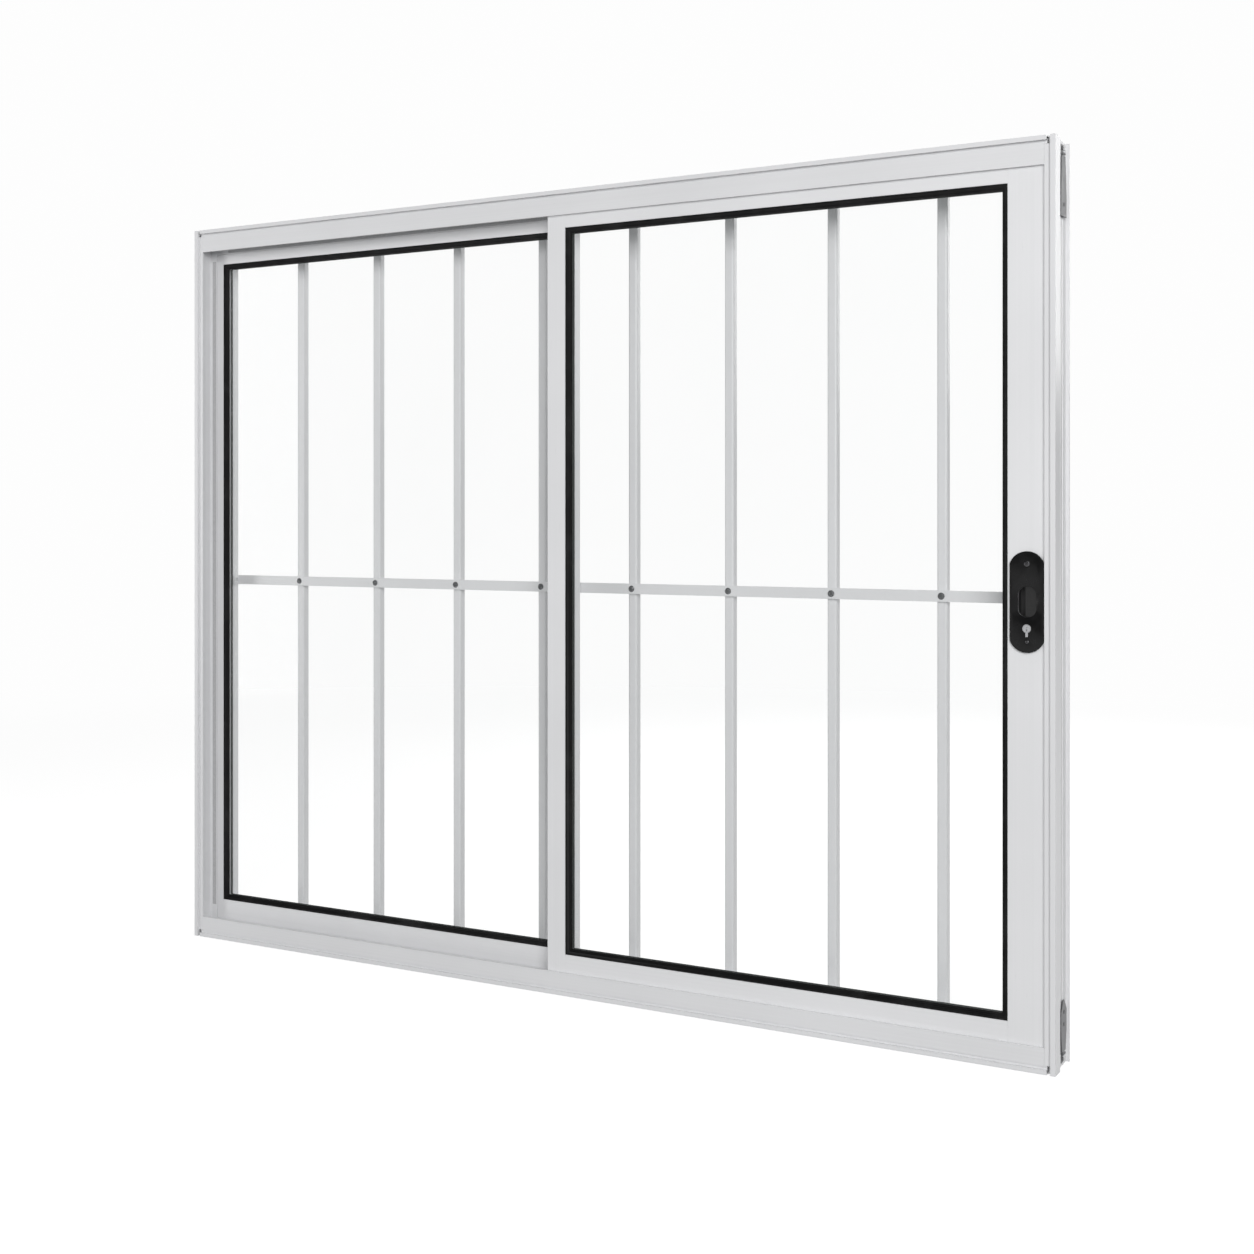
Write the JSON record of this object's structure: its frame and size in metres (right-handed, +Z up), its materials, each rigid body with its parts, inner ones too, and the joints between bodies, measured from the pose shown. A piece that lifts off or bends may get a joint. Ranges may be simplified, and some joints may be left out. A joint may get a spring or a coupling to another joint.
{
  "type": "window security bar",
  "caption": "Sliding aluminium window with two glazed leaves, a hook lock and a riveted grille of upright bars across its back.",
  "frame": {"origin": "bottom centre of the part's bounding box", "axes": "+X along the width, towards the lock; +Y from the front towards the grille; +Z up"},
  "size_m": [1.2, 0.0756, 1],
  "materials": {
    "frame_white": "satin white powder coat",
    "leaf_white": "satin white powder coat",
    "grille_white": "satin white powder coat",
    "screw_steel": "zinc plated",
    "keeper_steel": "brushed",
    "rivet_dark": "dark matt coating",
    "brush_pile": "woven pile",
    "gasket_rubber": "satin extruded rubber",
    "cap_plastic": "matt moulded plastic",
    "guide_plastic": "matt moulded plastic",
    "clear_glass": "clear float glass",
    "wheel_nylon": "smooth nylon",
    "lock_black": "gloss black",
    "case_plastic": "matt moulded plastic",
    "screw_black": "black coated",
    "cylinder_chrome": "polished",
    "hook_steel": "hardened and plated",
    "galvanized": "hot-dip galvanized, dull grey"
  },
  "bodies": {
    "outer_frame": {"left_jamb": "frame_white", "right_jamb": "frame_white", "head_rail": "frame_white", "sill_rail": "frame_white", "corner_screws": "screw_steel", "brush_strips": "brush_pile", "keeper_plate": "keeper_steel", "keeper_screws": "screw_steel", "grille_bar_1": "grille_white", "grille_bar_2": "grille_white", "grille_bar_3": "grille_white", "grille_bar_4": "grille_white", "grille_bar_5": "grille_white", "grille_bar_6": "grille_white", "grille_bar_7": "grille_white", "grille_bar_8": "grille_white", "cross_bar": "grille_white", "cross_bar_rivets": "rivet_dark", "tab_rivets": "screw_steel", "bar_end_screws": "screw_steel", "bar_end_caps": "cap_plastic", "anchor_feet": "galvanized"},
    "right_leaf": {"right_meeting_stile": "leaf_white", "right_lock_stile": "leaf_white", "right_top_rail": "leaf_white", "right_bottom_rail": "leaf_white", "right_glass": "clear_glass", "right_gasket": "gasket_rubber", "right_leaf_screws": "screw_steel", "right_top_guides": "guide_plastic", "right_roller_carriages": "guide_plastic", "right_roller_axles": "screw_steel", "lock_plate": "lock_black", "lock_case": "case_plastic", "key_trim": "cylinder_chrome", "plate_screws": "screw_black"},
    "left_leaf": {"left_side_stile": "leaf_white", "left_meeting_stile": "leaf_white", "left_top_rail": "leaf_white", "left_bottom_rail": "leaf_white", "left_glass": "clear_glass", "left_gasket": "gasket_rubber", "left_leaf_screws": "screw_steel", "left_top_guides": "guide_plastic", "left_roller_carriages": "guide_plastic", "left_roller_axles": "screw_steel"},
    "right_wheel_a": {"right_wheel_a": "wheel_nylon"},
    "right_wheel_b": {"right_wheel_b": "wheel_nylon"},
    "left_wheel_a": {"left_wheel_a": "wheel_nylon"},
    "left_wheel_b": {"left_wheel_b": "wheel_nylon"},
    "pull_slider": {"pull_slider": "lock_black"},
    "hook_bolt": {"hook_bolt": "hook_steel"},
    "key_barrel": {"key_cylinder": "cylinder_chrome", "key_cam": "hook_steel"},
    "strap_upper_right": {"strap_upper_right": "galvanized"},
    "strap_lower_right": {"strap_lower_right": "galvanized"},
    "strap_upper_left": {"strap_upper_left": "galvanized"},
    "strap_lower_left": {"strap_lower_left": "galvanized"}
  },
  "joints": [
    {"name": "right_leaf_slide", "type": "slide", "parent": "outer_frame", "child": "right_leaf", "axis": [-1, 0, 0], "range_m": [0, 0.55]},
    {"name": "left_leaf_slide", "type": "slide", "parent": "outer_frame", "child": "left_leaf", "axis": [1, 0, 0], "range_m": [0, 0.565]},
    {"name": "right_wheel_a_roll", "type": "hinge", "parent": "right_leaf", "child": "right_wheel_a", "pos_m": [0.09, -0.0228, 0.0237], "axis": [0, 1, 0], "continuous": true},
    {"name": "right_wheel_b_roll", "type": "hinge", "parent": "right_leaf", "child": "right_wheel_b", "pos_m": [0.4577, -0.0228, 0.0237], "axis": [0, 1, 0], "continuous": true},
    {"name": "left_wheel_a_roll", "type": "hinge", "parent": "left_leaf", "child": "left_wheel_a", "pos_m": [-0.48, -0.0023, 0.0237], "axis": [0, 1, 0], "continuous": true},
    {"name": "left_wheel_b_roll", "type": "hinge", "parent": "left_leaf", "child": "left_wheel_b", "pos_m": [-0.1145, -0.0023, 0.0237], "axis": [0, 1, 0], "continuous": true},
    {"name": "pull_slide", "type": "slide", "parent": "right_leaf", "child": "pull_slider", "axis": [-1, 0, 0], "range_m": [0, 0.005]},
    {"name": "hook_swing", "type": "hinge", "parent": "right_leaf", "child": "hook_bolt", "pos_m": [0.5815, -0.0228, 0.5053], "axis": [0, -1, 0], "range_deg": [0, 90]},
    {"name": "key_turn", "type": "hinge", "parent": "right_leaf", "child": "key_barrel", "pos_m": [0.56875, -0.0288, 0.4738], "axis": [0, 1, 0], "range_deg": [0, 90]},
    {"name": "upper_right_strap_fold", "type": "hinge", "parent": "outer_frame", "child": "strap_upper_right", "pos_m": [0.5983, 0.0028, 0.986], "axis": [0, -1, 0], "range_deg": [0, 90]},
    {"name": "lower_right_strap_fold", "type": "hinge", "parent": "outer_frame", "child": "strap_lower_right", "pos_m": [0.5983, 0.0028, 0.014], "axis": [0, 1, 0], "range_deg": [0, 90]},
    {"name": "upper_left_strap_fold", "type": "hinge", "parent": "outer_frame", "child": "strap_upper_left", "pos_m": [-0.5983, 0.0028, 0.986], "axis": [0, 1, 0], "range_deg": [0, 90]},
    {"name": "lower_left_strap_fold", "type": "hinge", "parent": "outer_frame", "child": "strap_lower_left", "pos_m": [-0.5983, 0.0028, 0.014], "axis": [0, -1, 0], "range_deg": [0, 90]}
  ],
  "couplings": [
    {"joint": "right_wheel_a_roll", "follows": "right_leaf_slide", "rad_per_m": -181.82},
    {"joint": "right_wheel_b_roll", "follows": "right_leaf_slide", "rad_per_m": -181.82},
    {"joint": "left_wheel_a_roll", "follows": "left_leaf_slide", "rad_per_m": 181.82},
    {"joint": "left_wheel_b_roll", "follows": "left_leaf_slide", "rad_per_m": 181.82},
    {"joint": "hook_swing", "follows": "pull_slide", "rad_per_m": 314.16}
  ]
}
